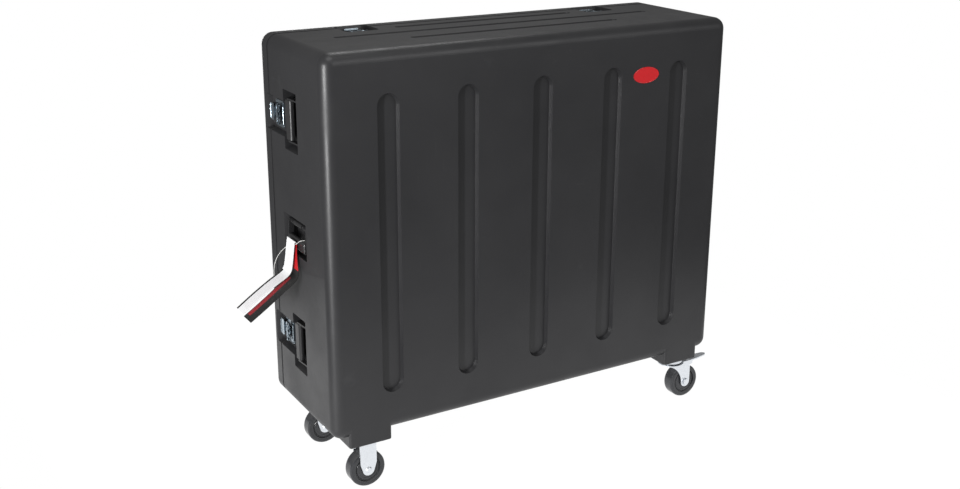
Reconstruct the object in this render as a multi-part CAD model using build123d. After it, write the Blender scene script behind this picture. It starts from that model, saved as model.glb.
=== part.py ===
from build123d import *
import math
import os

# Wheeled flight case for a mixing desk.
# X runs along the case, Y from the ribbed face to the lid, Z up from the floor.
# Millimetres.

# Shells
LENGTH = 1104
DEPTH = 362
HEIGHT = 895
BOTTOM_Z = 144
PARTING_Y = 125
WALL = 7
CORNER_R = 28
EDGE_R = 26
HALF_X = LENGTH / 2
FRONT_Y = -DEPTH / 2
BACK_Y = DEPTH / 2
TOP_Z = BOTTOM_Z + HEIGHT
MID_Z = BOTTOM_Z + HEIGHT / 2

# Ribs pressed into the front face and grooves in the top
RIB_PITCH = 200
RIB_COUNT = 5
RIB_WIDTH = 54
RIB_LENGTH = 704
RIB_DEPTH = 11
RIB_DRAFT = 18
RIB_MID_Z = 592
GROOVE_WIDTH = 18
GROOVE_DEPTH = 4
TOP_GROOVES = ((-70, 286), (10, 438), (81, 250))

# Edge profiles of the two shells
BAND_HEIGHT = 4
BAND_SINK = 1.2
PARTING_GAP = 0.3
RIM_DEPTH = 24
GASKET_INSET = (17.5, 20)
TONGUE_WALL = 2
TONGUE_REACH = 9
LEG_REACH = 20

# Feet moulded into the base, over the casters
FOOT_X = 460
FOOT_LENGTH = 108
FOOT_BOTTOM_Z = 120
FRONT_FOOT_Y = (FRONT_Y, -100)
REAR_FOOT_Y = (70, 144)
FOOT_R = 7
LID_CLEAR = 1.2

# Casters
CASTER_X = 460
CASTER_YS = {"front": -142, "rear": 108}
WHEEL_R = 45
WHEEL_WIDTH = 32
RING_R = 31
AXLE_R = 5
AXLE_CLEAR = 0.06
PLATE_LENGTH = 92
PLATE_WIDTH = 60
PLATE_THICK = 3
LEG_THICK = 3
LEG_GAP = 1.6
RIGID_LEG_WIDTH = 42
TRAIL = 38
CROWN_Z = 103
CROWN_R = 35
RACE_R = 31
PEDAL_PIN_Z = 96.5
PEDAL_TIP_X = 580
PEDAL_WIDTH = 26

# Latches
LATCH_Y = 95
DISH_DEPTH = 15
DISH_HALF = 42
DISH_TAPER = 18
TOP_DISH_Y = (66, 151)
END_DISH_Y = (34, 151)
TOP_LATCH_X = 337
END_LATCH_Z = 269
LATCH_TRAVEL = 6

# Latch pieces, in the recess frame: t towards the lid, n up from its floor
FLOOR = -DISH_DEPTH
PLATE_T = (-23.5, 27)
PLATE_HALF = 31
SHEET = 1.5
GUIDE_W = 12.5
STRAP_HALF = 11
STRAP_N = (1.9, 3.9)
HOOK_N = (6.6, 8.6)
HOOK_HALF = 20
WING_REACH = 24.3
SPINDLE_R = 5
KEEPER_T = (35, 50)
BEAD_T = 39.5

# Spring handles, in the pocket frame: t from the hinge to the grip
HANDLE_Y = 4.5
POCKET_DEPTH = 31
POCKET_SIZE = (75, 138)
POCKET_FLOOR_HALF = 54.5
GRAB_SIZE = (87, 128)
HINGE_T = -26
HINGE_N = -12
GRIP_T = 19
GRIP_N = -8
GRIP_LENGTH = 93
GRIP_WIDTH = 28
GRIP_THICK = 13
ARM_THICK = 3.5
ARM_W = (47, 50.5)
EAR_W = (51.2, 53.2)
PIN_R = 3

# Foam lining
FOAM_SIDE = 49
FOAM_FRONT = 24
FOAM_PAD_X = 535
FOAM_PAD_Z = 430
FOAM_PLANK_X = 538
FOAM_LAYER_Y = 56
FOAM_BLOCKS = (56, 186, 351)

# Red oval badge
BADGE_X = 300
BADGE_Z = 917
BADGE_SIZE = (79, 41)
BADGE_SINK = 3

# Hang tag on a thin stiff string. Points are the middle of the strip, front
# flap from its end up to the fold, then the rear flap down again.
STRING_D = 1.6
TAG_WIDTH = 45
TAG_THICK = 1
TAG_Y = 14
TAG_REAR_END_Y = -31
TAG_FRONT = ((-690, 432), (-650, 460), (-610, 485.5), (-584, 500), (-572, 511), (-567, 530), (-560, 578))
TAG_FOLD = (-557.3, 581.5)
TAG_REAR = ((-554.6, 578), (-560, 528), (-564.5, 506), (-580, 494), (-606, 479.5), (-650, 453), (-690, 427))
STRING_ROUTE = (
    (-534.5, -37, 566), (-535, -35, 580), (-538, -32, 588.6), (-545, -27, 589.4), (-551, -20, 587.5),
    (-555, -14, 581), (-557, -6, 575.5), (-558, 10, 571), (-559.5, 30, 563.5), (-562, 43, 556), (-568, 54, 545), (-575, 63, 530), (-580, 70, 512),
    (-582, 74, 492), (-581.5, 75.5, 472),
)

# The pedals make the case longer at one end, so the middle of the whole
# object is this far from the middle of the shells.
FRAME_SHIFT = (HALF_X - PEDAL_TIP_X) / 2

os.makedirs("parts", exist_ok=True)


def save(name, shape):
    """Writes one named piece, moved to the object's own frame."""
    placed = shape.moved(Location((FRAME_SHIFT, 0, 0)))
    placed.label = name
    export_step(placed, f"parts/{name}.step")


def group(solids):
    """Separate solids that share one node."""
    return Compound(children=list(solids))


def span(low, high):
    """A box from its lowest corner to its highest."""
    size = [h - l for l, h in zip(low, high)]
    middle = [(h + l) / 2 for l, h in zip(low, high)]
    return Pos(*middle) * Box(*size)


def xz_plane(y):
    """A drawing plane facing the lid, with X to the right and Z up."""
    return Plane(origin=(0, y, MID_Z), x_dir=(1, 0, 0), z_dir=(0, -1, 0))


def ring_slab(inset, y0, y1):
    """The case's rounded outline, inset, as a slab between two Y planes."""
    radius = max(CORNER_R - inset, 6)
    outline = RectangleRounded(LENGTH - 2 * inset, HEIGHT - 2 * inset, radius)
    return extrude(xz_plane(y1) * outline, amount=y1 - y0)


def ring(outer, inner, y0, y1):
    return ring_slab(outer, y0, y1) - ring_slab(inner, y0 - 1, y1 + 1)


# Recess frames: x runs from the hinge side to the grip or from the base to
# the lid, z points out of the case.
def end_frame(side, y, z, towards=(0, 1, 0)):
    return Plane(origin=(side * HALF_X, y, z), x_dir=towards, z_dir=(side, 0, 0))


def latch_frames():
    """Two latches on each of the four edges, named by their place."""
    frames = {}
    for side, word in ((-1, "left"), (1, "right")):
        for dz, level in ((1, "high"), (-1, "low")):
            frames[f"{word}_{level}"] = end_frame(side, LATCH_Y, MID_Z + dz * END_LATCH_Z)
        for up, level in ((1, "top"), (-1, "bottom")):
            z = TOP_Z if up > 0 else BOTTOM_Z
            frames[f"{level}_{word}"] = Plane(
                origin=(side * TOP_LATCH_X, LATCH_Y, z), x_dir=(0, 1, 0), z_dir=(0, 0, up)
            )
    return frames


def handle_frames():
    """A vertical grip beside each end latch and a level one between them."""
    frames = {}
    for side, word in ((-1, "left"), (1, "right")):
        for dz, level in ((1, "high"), (-1, "low")):
            frames[f"{word}_{level}"] = end_frame(side, HANDLE_Y, MID_Z + dz * END_LATCH_Z)
        frames[f"{word}_middle"] = end_frame(side, HANDLE_Y, MID_Z, (0, 0, -1))
    return frames


def tapered_pit(width, height, depth, taper, radius):
    """A recess tool from just above a face down to its floor, z = -depth."""
    mouth = RectangleRounded(width, height, radius)
    pit = extrude(mouth, amount=-depth, taper=taper)
    return pit + extrude(mouth, amount=1)


def dish_tool(y_range):
    low, high = y_range
    pit = tapered_pit(high - low, 2 * DISH_HALF, DISH_DEPTH, DISH_TAPER, 12)
    return Pos((low + high) / 2 - LATCH_Y, 0, 0) * pit


def dish_boss(y_range):
    low, high = y_range
    return span(
        (low - LATCH_Y - WALL, -DISH_HALF - WALL, -DISH_DEPTH - WALL),
        (high - LATCH_Y + WALL, DISH_HALF + WALL, 0),
    )


def dish_range(name):
    return END_DISH_Y if name.endswith(("high", "low")) else TOP_DISH_Y


def pocket_size(name):
    return GRAB_SIZE if name.endswith("middle") else POCKET_SIZE


def pocket_tool(name):
    """A handle pocket whose two short walls slope in."""
    width, height = pocket_size(name)
    half = height / 2
    slope = half - POCKET_FLOOR_HALF
    side_view = Plane.YZ * Polyline(
        (-half, 1), (-half, 0), (slope - half, -POCKET_DEPTH),
        (half - slope, -POCKET_DEPTH), (half, 0), (half, 1), (-half, 1),
    )
    pit = extrude(make_face(side_view), amount=width / 2, both=True)
    return fillet(pit.edges().filter_by(Axis.Z).group_by(Axis.Z)[-1], 3)


def pocket_boss(name, rise=0):
    """The outside of a handle cup; rise lifts its top to make it a cutter."""
    width, height = pocket_size(name)
    return span(
        (-width / 2 - WALL, -height / 2 - WALL, -POCKET_DEPTH - WALL),
        (width / 2 + WALL, height / 2 + WALL, rise),
    )


def rib_centres():
    first = -(RIB_COUNT - 1) / 2 * RIB_PITCH
    return [first + k * RIB_PITCH for k in range(RIB_COUNT)]


def rib_tool(x):
    plane = Plane(origin=(x, FRONT_Y, RIB_MID_Z), x_dir=(0, 0, 1), z_dir=(0, 1, 0))
    return extrude(plane * SlotOverall(RIB_LENGTH, RIB_WIDTH), amount=RIB_DEPTH, taper=RIB_DRAFT)


def rib_boss(x):
    half_x = RIB_WIDTH / 2 + WALL / 2
    half_z = RIB_LENGTH / 2 + WALL / 2
    return span(
        (x - half_x, FRONT_Y, RIB_MID_Z - half_z),
        (x + half_x, FRONT_Y + RIB_DEPTH + WALL, RIB_MID_Z + half_z),
    )


def top_groove(y, half_length):
    plane = Plane(origin=(0, y, TOP_Z), x_dir=(1, 0, 0), z_dir=(0, 0, -1))
    outline = SlotOverall(2 * half_length, GROOVE_WIDTH)
    return extrude(plane * outline, amount=GROOVE_DEPTH, taper=35)


def badge_outline():
    plane = Plane(origin=(BADGE_X, FRONT_Y, BADGE_Z), x_dir=(1, 0, 0), z_dir=(0, -1, 0))
    return plane * Ellipse(BADGE_SIZE[0] / 2, BADGE_SIZE[1] / 2)


def caster_feet():
    """Blocks under the base; the rear pair reaches under the lid."""
    outside = rounded_base()
    blocks = []
    for side in (-1, 1):
        x0 = side * FOOT_X - FOOT_LENGTH / 2
        x1 = side * FOOT_X + FOOT_LENGTH / 2
        front = span((x0, FRONT_FOOT_Y[0], FOOT_BOTTOM_Z), (x1, FRONT_FOOT_Y[1], BOTTOM_Z + EDGE_R + 4))
        front = fillet(front.edges().filter_by(Axis.Z), FOOT_R)
        front = fillet(front.faces().sort_by(Axis.Z)[0].edges(), 3)
        rear = span((x0, REAR_FOOT_Y[0], FOOT_BOTTOM_Z), (x1, REAR_FOOT_Y[1], BOTTOM_Z + 2))
        rear = fillet(rear.edges().filter_by(Axis.Z), FOOT_R)
        rear = fillet(rear.faces().sort_by(Axis.Z)[0].edges(), 3)
        rear -= span((x0 - 1, PARTING_Y - BAND_HEIGHT, BOTTOM_Z - LID_CLEAR), (x1 + 1, 200, 200))
        blocks += [front - outside, rear - outside]
    return group(blocks)


def rounded_base():
    """The outside of the base, solid and without its recesses."""
    body = ring_slab(0, FRONT_Y, PARTING_Y - BAND_HEIGHT)
    return fillet(body.faces().sort_by(Axis.Y)[0].edges(), EDGE_R)


def base_shell():
    """The deep shell: ribbed front, grooved top, recesses moulded inwards."""
    rim = PARTING_Y - BAND_HEIGHT
    body = rounded_base()
    hollow = ring_slab(WALL, FRONT_Y + WALL, rim + 1)
    hollow = fillet(hollow.faces().sort_by(Axis.Y)[0].edges(), EDGE_R - WALL)
    for x in rib_centres():
        hollow -= rib_boss(x)
    for name, frame in latch_frames().items():
        hollow -= frame.location * dish_boss(dish_range(name))
    body -= hollow
    for x in rib_centres():
        body -= rib_tool(x)
    for y, half_length in TOP_GROOVES:
        body -= top_groove(y, half_length)
    for name, frame in latch_frames().items():
        body -= frame.location * dish_tool(dish_range(name))
    for name, frame in handle_frames().items():
        body -= frame.location * pocket_boss(name, 1)
    body -= extrude(badge_outline(), amount=-BADGE_SINK)
    return body


def handle_cups():
    """The deep cups of the handles, let into the ends; a latch dish opens into some."""
    dishes = {name: frame.location * dish_tool(dish_range(name)) for name, frame in latch_frames().items()}
    cups = []
    for name, frame in handle_frames().items():
        cup = frame.location * (pocket_boss(name) - pocket_tool(name))
        if name in dishes:
            cup -= dishes[name]
        cups.append(cup)
    return group(cups)


def lid_shell():
    """The shallow shell that closes the back."""
    rim = PARTING_Y + PARTING_GAP + BAND_HEIGHT
    body = ring_slab(0, rim, BACK_Y)
    body = fillet(body.faces().sort_by(Axis.Y)[-1].edges(), EDGE_R)
    hollow = ring_slab(WALL, rim - 1, BACK_Y - WALL)
    hollow = fillet(hollow.faces().sort_by(Axis.Y)[-1].edges(), EDGE_R - WALL)
    for name, frame in latch_frames().items():
        hollow -= frame.location * dish_boss(dish_range(name))
    body -= hollow
    for name, frame in latch_frames().items():
        body -= frame.location * dish_tool(dish_range(name))
    return body


def latch_block(t, w, n):
    """A box in the recess frame with n counted up from the dish floor."""
    return span((t[0], w[0], FLOOR + n[0]), (t[1], w[1], FLOOR + n[1]))


def latch_bar(t, n, radius, length):
    return Pos(t, 0, FLOOR + n) * Rot(90, 0, 0) * Cylinder(radius, length)


def latch_plate():
    plate = latch_block(PLATE_T, (-PLATE_HALF, PLATE_HALF), (0, SHEET))
    plate = fillet(plate.edges().filter_by(Axis.Z), 6)
    plate -= Pos(0, 0, FLOOR) * Cylinder(SPINDLE_R, 8)
    for side in (-1, 1):
        w = side * GUIDE_W
        plate += latch_block((7, 25.5), (w - 1, w + 1), (SHEET, 5))
    bar_t = PLATE_T[0] + 2.2
    plate += latch_block((bar_t - 0.8, bar_t + 0.8), (-18, 18), (SHEET, 3.5))
    return plate + latch_bar(bar_t, 3.5, 2, 42)


def latch_wing():
    """Butterfly handle on its spindle, two looped wings with knobs."""
    outline = Circle(10)
    for side in (-1, 1):
        wing = Pos(0, side * (WING_REACH - 9)) * RectangleRounded(17, 18, 6)
        outline += wing
    wings = extrude(Pos(0, 0, FLOOR + 5.9) * outline, amount=3)
    for side in (-1, 1):
        hole = Pos(0, side * 16.5, FLOOR + 7) * Cylinder(3.6, 8)
        wings -= hole
        knob = Pos(0, side * 21.6, FLOOR + 10) * Cylinder(2.6, 3)
        wings += knob
    wings += latch_block((-1.6, 1.6), (-12, 12), (8.5, 10.6))
    hub = Pos(0, 0, FLOOR + 5.2) * Cylinder(8, 2.2)
    spindle = Pos(0, 0, FLOOR + 2.4) * Cylinder(SPINDLE_R - AXLE_CLEAR, 4.4)
    return wings + hub + spindle


def latch_hook():
    """Draw strap: slotted round the spindle, stepped up over the keeper."""
    strap = latch_block((-16, 28), (-STRAP_HALF, STRAP_HALF), STRAP_N)
    slot_half = SPINDLE_R + 0.4
    strap -= latch_block((-LATCH_TRAVEL, 0), (-slot_half, slot_half), (0, 6))
    strap -= Pos(0, 0, FLOOR) * Cylinder(slot_half, 12)
    strap -= Pos(-LATCH_TRAVEL, 0, FLOOR) * Cylinder(slot_half, 12)
    riser = latch_block((26, 28), (-STRAP_HALF, STRAP_HALF), (STRAP_N[0], HOOK_N[1]))
    head = latch_block((26, 44), (-HOOK_HALF, HOOK_HALF), HOOK_N)
    head = fillet(head.edges().filter_by(Axis.Z), 1.9)
    return strap + riser + head + latch_bar(43.4, 8.4, 1.8, 2 * HOOK_HALF - 6)


def latch_keeper():
    plate = latch_block(KEEPER_T, (-17, 17), (0, SHEET))
    plate = fillet(plate.edges().filter_by(Axis.Z), 3)
    web = latch_block((BEAD_T - 0.8, BEAD_T + 0.8), (-15, 15), (SHEET, 4))
    return plate + web + latch_bar(BEAD_T, 4, 2.3, 30)


def handle_plate():
    floor = span((-34, -EAR_W[1], -POCKET_DEPTH), (34, EAR_W[1], 2 - POCKET_DEPTH))
    for side in (-1, 1):
        w = side * sum(EAR_W) / 2
        outline = make_hull(
            (Pos(HINGE_T, HINGE_N) * Circle(7)).edges()
            + (Pos(HINGE_T, -POCKET_DEPTH + 1) * Rectangle(15, 2)).edges()
        )
        ear = extrude(Plane.XZ.offset(-w) * outline, amount=(EAR_W[1] - EAR_W[0]) / 2, both=True)
        floor += ear - Pos(HINGE_T, w, HINGE_N) * Rot(90, 0, 0) * Cylinder(PIN_R, 6)
    return floor


def hinge_bar(radius, length):
    return Pos(HINGE_T, 0, HINGE_N) * Rot(90, 0, 0) * Cylinder(radius, length)


def handle_pin():
    return hinge_bar(PIN_R, 2 * EAR_W[1])


def spring_barrel():
    """Closed sleeve round the return spring on the hinge pin."""
    return hinge_bar(6.5, 44) - hinge_bar(PIN_R, 46)


def grip_bar(section, length):
    plane = Plane(origin=(GRIP_T, length / 2, GRIP_N), x_dir=(1, 0, 0), z_dir=(0, 1, 0))
    return extrude(plane * section, amount=-length)


def handle_bail():
    """Two flat arms and the rod that carries the grip."""
    bail = grip_bar(Circle(4), 2 * ARM_W[1])
    for side in (-1, 1):
        w = side * sum(ARM_W) / 2
        outline = make_hull(
            (Pos(HINGE_T, HINGE_N) * Circle(6.5)).edges() + (Pos(GRIP_T, GRIP_N) * Circle(5.8)).edges()
        )
        arm = extrude(Plane.XZ.offset(-w) * outline, amount=ARM_THICK / 2, both=True)
        bail += arm
    return bail - hinge_bar(PIN_R + AXLE_CLEAR, 120)


def handle_grip():
    """Moulded sleeve, flat and wide, with rounded edges."""
    sleeve = grip_bar(RectangleRounded(GRIP_WIDTH, GRIP_THICK, GRIP_THICK / 2 - 0.5), GRIP_LENGTH)
    ends = sleeve.faces().filter_by(Axis.Y).edges()
    return chamfer(ends, 1.5) - grip_bar(Circle(4), GRIP_LENGTH + 2)


# Casters, with the axle or kingpin of each at x, y.
def cross_pin(x, y, z, radius, length):
    return Pos(x, y, z) * Rot(90, 0, 0) * Cylinder(radius, length)


def leg_pair(outline, y):
    """Two legs cut to one outline in X and Z, either side of the wheel."""
    legs = []
    for side in (-1, 1):
        middle = y + side * (WHEEL_WIDTH / 2 + LEG_GAP + LEG_THICK / 2)
        plane = Plane(origin=(0, middle, 0), x_dir=(1, 0, 0), z_dir=(0, -1, 0))
        legs.append(extrude(plane * outline, amount=LEG_THICK / 2, both=True))
    return legs


def top_plate(x, y):
    z = FOOT_BOTTOM_Z - PLATE_THICK / 2
    plate = Pos(x, y, z) * Box(PLATE_LENGTH, PLATE_WIDTH, PLATE_THICK)
    return fillet(plate.edges().filter_by(Axis.Z), 6)


def rigid_fork(x, y):
    outline = make_hull(
        (Pos(x, WHEEL_R) * Circle(15)).edges()
        + (Pos(x, (62 + 118) / 2) * Rectangle(RIGID_LEG_WIDTH, 118 - 62)).edges()
    )
    fork = top_plate(x, y)
    for leg in leg_pair(outline, y):
        fork += leg
    return fork - cross_pin(x, y, WHEEL_R, AXLE_R, 60)


def rigid_axle(x, y):
    half = WHEEL_WIDTH / 2 + LEG_GAP + LEG_THICK
    axle = cross_pin(x, y, WHEEL_R, AXLE_R, 2 * half)
    for side in (-1, 1):
        head = Pos(x, y + side * half, WHEEL_R) * Rot(-90 * side, 0, 0)
        axle += head * Cone(8, 5, 2.5, align=(Align.CENTER, Align.CENTER, Align.MIN))
    return axle


def wheel(x, y):
    """Hard tread with bevelled shoulders, a ring groove and a raised hub."""
    half = WHEEL_WIDTH / 2
    bore = AXLE_R + AXLE_CLEAR
    side = [
        (bore, half + 1), (12, half + 1), (13, half - 2), (RING_R - 3, half - 2),
        (RING_R - 1.5, half - 3.5), (RING_R + 0.5, half - 3.5), (RING_R + 1.5, half), (WHEEL_R - 4, half),
        (WHEEL_R - 1.2, half - 1.2), (WHEEL_R, half - 4),
    ]
    other_side = [(r, -h) for r, h in reversed(side)]
    disc = revolve(make_face(Polyline(*side, *other_side, side[0])), axis=Axis.Y)
    return Pos(x, y, WHEEL_R) * disc


def swivel_plate(x, y):
    """Fixed plate, race ring and kingpin."""
    plate = top_plate(x, y)
    race = Pos(x, y, (108 + 117) / 2) * Cylinder(RACE_R, 9)
    plate += chamfer(race.faces().sort_by(Axis.Z)[0].edges(), 2)
    plate += Pos(x, y, 106) * Cylinder(6, 8)
    return plate + Pos(x, y, 101.2) * Cylinder(9, 3)


def swivel_yoke(x, y):
    """Crown and two swept legs that trail the wheel behind the kingpin."""
    axle_x = x + TRAIL
    left = axle_x - 14
    right = axle_x + 14
    outline = make_face(
        Curve()
        + [
            ThreePointArc((left, WHEEL_R), (axle_x, WHEEL_R - 14), (right, WHEEL_R)),
            Line((right, WHEEL_R), (right, CROWN_Z + 1)),
            Line((right, CROWN_Z + 1), (x - 28, CROWN_Z + 1)),
            Line((x - 28, CROWN_Z + 1), (x - 28, CROWN_Z - 1)),
            ThreePointArc((x - 28, CROWN_Z - 1), (x + 9, 82), (left, WHEEL_R)),
        ]
    )
    half = WHEEL_WIDTH / 2 + LEG_GAP + LEG_THICK
    crown = Pos(x, y, CROWN_Z + 1.5) * Cylinder(CROWN_R, 3)
    crown += span((x, y - half, CROWN_Z), (right, y + half, CROWN_Z + 3))
    crown += Pos(x, y, CROWN_Z + 3.8) * Cylinder(26, 1.8)
    for leg in leg_pair(outline, y):
        crown += leg
    crown -= Pos(x, y, CROWN_Z) * Cylinder(6 + AXLE_CLEAR, 20)
    crown += cross_pin(axle_x, y, PEDAL_PIN_Z, 2.5, 2 * half)
    return crown - cross_pin(axle_x, y, WHEEL_R, AXLE_R, 60)


def swivel_axle(x, y):
    """Bolt with a hexagon head and a nut."""
    half = WHEEL_WIDTH / 2 + LEG_GAP + LEG_THICK
    bolt = cross_pin(x + TRAIL, y, WHEEL_R, AXLE_R, 2 * half + 8)
    for side in (-1, 1):
        start = Pos(x + TRAIL, y + side * half, WHEEL_R) * Rot(-90 * side, 0, 0)
        bolt += start * extrude(RegularPolygon(9, 6), amount=4.5)
    return bolt


def brake_pedal(x, y):
    """Foot pedal hinged over the wheel, with a shoe above the tread."""
    hinge_x = x + TRAIL
    side_view = Plane.XZ.offset(-y) * make_face(
        Polyline(
            (hinge_x, PEDAL_PIN_Z + 4.5), (hinge_x, PEDAL_PIN_Z + 1.5), (hinge_x + 20, PEDAL_PIN_Z + 1.5),
            (hinge_x + 20, 89), (hinge_x + 27, 89), (hinge_x + 30, PEDAL_PIN_Z + 2),
            (PEDAL_TIP_X, 101.5), (PEDAL_TIP_X, 104.5), (hinge_x + 36, PEDAL_PIN_Z + 6),
            (hinge_x + 12, PEDAL_PIN_Z + 4.5), (hinge_x, PEDAL_PIN_Z + 4.5),
        )
    )
    pedal = extrude(side_view, amount=PEDAL_WIDTH / 2, both=True)
    wide = PEDAL_WIDTH / 2
    plan = make_face(
        Polyline(
            (hinge_x - 6, -wide), (hinge_x + 42, -wide), (PEDAL_TIP_X - 6, -8), (PEDAL_TIP_X, -2),
            (PEDAL_TIP_X, 2), (PEDAL_TIP_X - 6, 8), (hinge_x + 42, wide), (hinge_x - 6, wide), (hinge_x - 6, -wide),
        )
    )
    pedal &= extrude(Pos(0, y, 80) * plan, amount=40)
    pedal += cross_pin(hinge_x, y, PEDAL_PIN_Z, 4.5, PEDAL_WIDTH)
    return pedal - cross_pin(hinge_x, y, PEDAL_PIN_Z, 2.5 + AXLE_CLEAR, 60)


def caster_bolts():
    heads = []
    for side in (-1, 1):
        for y in CASTER_YS.values():
            for dx in (-38, 38):
                for dy in (-22, 22):
                    z = FOOT_BOTTOM_Z - PLATE_THICK
                    place = Pos(side * CASTER_X + dx, y + dy, z)
                    heads.append(place * extrude(RegularPolygon(6, 6), amount=-3.5))
    return group(heads)


# Lining, rim profiles and badge
def base_foam():
    """Foam planks and blocks laid round the inside, clear of every recess."""
    front = FRONT_Y + RIB_DEPTH + WALL
    back = PARTING_Y - LEG_REACH
    pad_back = front + FOAM_FRONT
    planks = [span((-FOAM_PAD_X, front, MID_Z - FOAM_PAD_Z), (FOAM_PAD_X, pad_back, MID_Z + FOAM_PAD_Z))]
    half_z = HEIGHT / 2 - WALL
    inner_z = half_z - FOAM_SIDE
    outer_z = half_z - DISH_DEPTH - 1
    wall_x = HALF_X - WALL
    cup_x = wall_x - POCKET_DEPTH
    inner_x = wall_x - FOAM_SIDE
    for side in (-1, 1):
        layers = ((inner_z, outer_z, FOAM_PLANK_X, back), (outer_z, half_z, FOAM_PLANK_X - CORNER_R, FOAM_LAYER_Y))
        for low, high, half_x, far in layers:
            z0, z1 = sorted((MID_Z + side * low, MID_Z + side * high))
            planks.append(span((-half_x, pad_back, z0), (half_x, far, z1)))
        x0, x1 = sorted((side * inner_x, side * cup_x))
        planks.append(span((x0, pad_back, MID_Z - inner_z), (x1, back, MID_Z + inner_z)))
        x0, x1 = sorted((side * cup_x, side * wall_x))
        for low, high in ((FOAM_BLOCKS[0], FOAM_BLOCKS[1]), (FOAM_BLOCKS[2], inner_z)):
            planks.append(span((x0, pad_back, MID_Z + low), (x1, back, MID_Z + high)))
            planks.append(span((x0, pad_back, MID_Z - high), (x1, back, MID_Z - low)))
    return group(planks)


def lid_foam():
    return ring_slab(WALL + DISH_DEPTH + 8, PARTING_Y + 14, BACK_Y - WALL)


def base_edge_profile():
    """Flanged rim of the base, with the tongue that enters the lid."""
    profile = ring(BAND_SINK, RIM_DEPTH, PARTING_Y - BAND_HEIGHT, PARTING_Y)
    inner = RIM_DEPTH - TONGUE_WALL
    profile += ring(inner + 0.2, RIM_DEPTH, PARTING_Y - 14, PARTING_Y + TONGUE_REACH)
    profile -= ring(GASKET_INSET[0] - 0.5, GASKET_INSET[1] + 0.5, PARTING_Y - 1.8, PARTING_Y + 1)
    for name, frame in latch_frames().items():
        profile -= frame.location * dish_tool(dish_range(name))
    return profile


def lid_edge_profile():
    low = PARTING_Y + PARTING_GAP
    profile = ring(BAND_SINK, RIM_DEPTH - TONGUE_WALL - 0.1, low, low + BAND_HEIGHT)
    for name, frame in latch_frames().items():
        profile -= frame.location * dish_tool(dish_range(name))
    return profile


def lid_gasket():
    return ring(GASKET_INSET[0], GASKET_INSET[1], PARTING_Y - 1.5, PARTING_Y + PARTING_GAP)


def badge():
    """Plain domed oval that sits in its recess, level with the front."""
    sole = extrude(Pos(0, BADGE_SINK, 0) * badge_outline(), amount=BADGE_SINK - 0.5)
    return chamfer(sole.faces().sort_by(Axis.Y)[0].edges(), 1)


def strip(points, y0, y1):
    """A thin strip that follows points in X and Z, drawn out along Y."""
    sides = ([], [])
    for k, here in enumerate(points):
        before = Vector(points[max(k - 1, 0)])
        after = Vector(points[min(k + 1, len(points) - 1)])
        along = (after - before).normalized()
        for side, sign in zip(sides, (1, -1)):
            shift = sign * TAG_THICK / 2
            side.append((here[0] - along.Y * shift, here[1] + along.X * shift))
    outline = sides[0] + sides[1][::-1]
    face = make_face(Plane.XZ * Polyline(*outline, outline[0]))
    return extrude(Pos(0, y0, 0) * face, amount=y1 - y0, dir=(0, 1, 0))


def hang_tag():
    """One strip folded over the string, the rear flap swung aside."""
    half = TAG_WIDTH / 2
    rear_top = TAG_REAR[0][1]
    rear_end = TAG_REAR[-1][1] - 2
    front = strip(TAG_FRONT + (TAG_FOLD, TAG_REAR[0]), TAG_Y - half, TAG_Y + half)
    rear = strip(TAG_REAR, TAG_REAR_END_Y - half, TAG_Y + half)
    skew = Plane.YZ * Polyline(
        (TAG_Y - half, rear_top + 2), (TAG_Y + half, rear_top + 2), (TAG_REAR_END_Y + half, rear_end),
        (TAG_REAR_END_Y - half, rear_end), (TAG_Y - half, rear_top + 2),
    )
    return front + (rear & extrude(make_face(skew), amount=720, dir=(-1, 0, 0)))


def string_path():
    """Straight runs joined by arcs as large as the runs allow."""
    points = [Vector(p) for p in STRING_ROUTE]
    radii = []
    for before, here, after in zip(points, points[1:], points[2:]):
        turn = (here - before).get_angle(after - here)
        shorter = min((here - before).length, (after - here).length)
        radii.append(0.45 * shorter / math.tan(math.radians(turn / 2)))
    print("string radii", [round(r, 1) for r in radii])
    return FilletPolyline(*points, radius=radii)


def tag_string():
    path = string_path()
    start = Plane(origin=path @ 0, z_dir=path % 0)
    tube = sweep(start * Circle(STRING_D / 2), path=path)
    print("string length", round(path.length, 1), "volume", round(tube.volume, 1))
    print("section times length", round(math.pi * (STRING_D / 2) ** 2 * path.length, 1))
    return tube


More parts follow.
